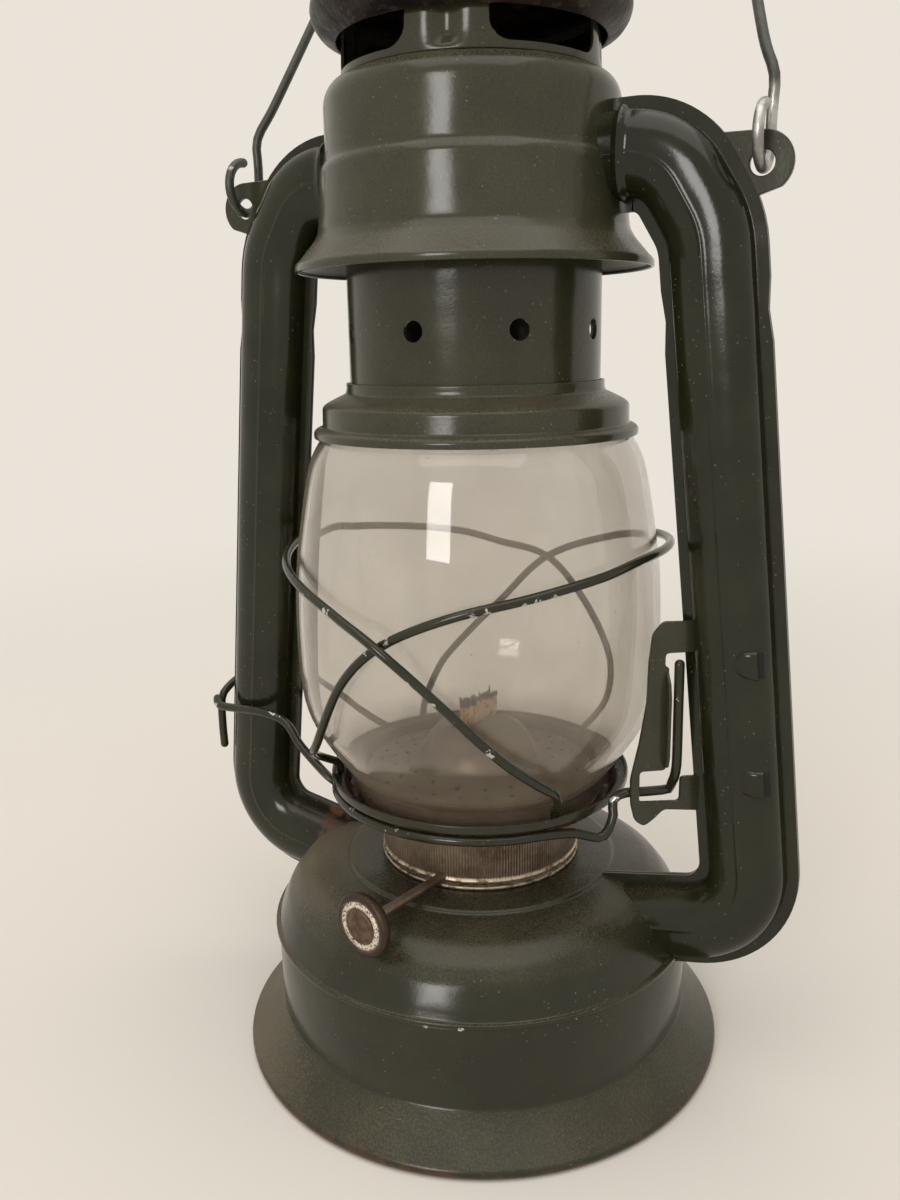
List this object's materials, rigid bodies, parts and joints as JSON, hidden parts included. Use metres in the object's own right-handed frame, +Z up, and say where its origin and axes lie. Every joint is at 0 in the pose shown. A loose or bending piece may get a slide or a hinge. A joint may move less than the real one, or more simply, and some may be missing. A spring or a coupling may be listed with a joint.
{
  "type": "kerosene lantern",
  "caption": "Tubular kerosene lantern: round tank, two side air tubes, wire-guarded glass globe that lifts, flat-wick burner with knob, capped air drum and swinging bail",
  "frame": {"origin": "on the lamp's axis at the plane the foot stands on", "axes": "+Z up; the two side tubes lie in the XZ plane; the wick knob points to the front, -Y, and the lift bracket is on the +X side"},
  "size_m": [0.1491, 0.114, 0.2792],
  "materials": {
    "green": "glossy olive-green enamel, chipped",
    "dusty_green": "the same enamel under dust",
    "brown": "heat-browned enamel",
    "tin": "tarnished tinplate",
    "knob": "rust-brown steel, worn at the rim",
    "spring": "drawn wire",
    "glass": "clear, dusty grey",
    "cotton": "woven, charred at the end",
    "cork": "cork"
  },
  "bodies": {
    "lamp": {"tank_wall": "green", "tank_bottom": "dusty_green", "tank_dome": "dusty_green", "filler_neck": "dusty_green", "burner_socket": "tin", "burner_collar": "tin", "burner_deck": "tin", "wick_tube": "tin", "air_drum": "green", "crown": "green", "top_cap": "brown", "tube_right_front": "green", "tube_right_back": "green", "tube_left_front": "green", "tube_left_back": "green", "ear_left": "green", "ear_right": "green", "lift_bracket": "green"},
    "filler_cap": {"filler_cap": "tin", "filler_gasket": "cork"},
    "wick_drive": {"wick_shaft": "tin", "wick_wheel_front": "tin", "wick_wheel_back": "tin", "wick_knob": "knob"},
    "wick": {"wick": "cotton"},
    "gallery": {"gallery_ring": "dusty_green", "burner_cap": "tin", "globe": "glass", "guard_wire_right": "green", "guard_wire_left": "green", "lift_wire": "green", "lift_wire_rear": "green"},
    "chimney": {"chimney": "green", "globe_plate": "dusty_green", "spider": "tin", "pull_rod": "tin", "chimney_spring": "spring"},
    "lift_ring": {"lift_ring": "tin"},
    "bail": {"bail": "green"}
  },
  "joints": [
    {"name": "filler_cap_turn", "type": "hinge", "parent": "lamp", "child": "filler_cap", "pos_m": [-0.00445, 0.03623, 0.0496], "axis": [0, 0, 1], "range_deg": [0, 540]},
    {"name": "knob_turn", "type": "hinge", "parent": "lamp", "child": "wick_drive", "pos_m": [-0.00341, -0.04732, 0.0483], "axis": [0.2079, 0.9781, 0], "range_deg": [-91, 68]},
    {"name": "wick_raise", "type": "slide", "parent": "lamp", "child": "wick", "axis": [0, 0, 1], "range_m": [-0.0082, 0.0062]},
    {"name": "globe_lift", "type": "slide", "parent": "lamp", "child": "gallery", "axis": [0, 0, 1], "range_m": [0, 0.022]},
    {"name": "chimney_slide", "type": "slide", "parent": "lamp", "child": "chimney", "axis": [0, 0, 1], "range_m": [0, 0.022], "deforming": ["chimney_spring"]},
    {"name": "ring_fold", "type": "hinge", "parent": "chimney", "child": "lift_ring", "pos_m": [0, 0, 0.2406], "axis": [1, 0, 0], "range_deg": [0, 160]},
    {"name": "bail_swing", "type": "hinge", "parent": "lamp", "child": "bail", "pos_m": [0, 0, 0.19911], "axis": [1, 0, 0], "range_deg": [-64, 116]}
  ],
  "couplings": [
    {"joint": "wick_raise", "follows": "knob_turn", "m_per_rad": 0.005},
    {"joint": "chimney_slide", "follows": "globe_lift", "ratio": 1}
  ]
}
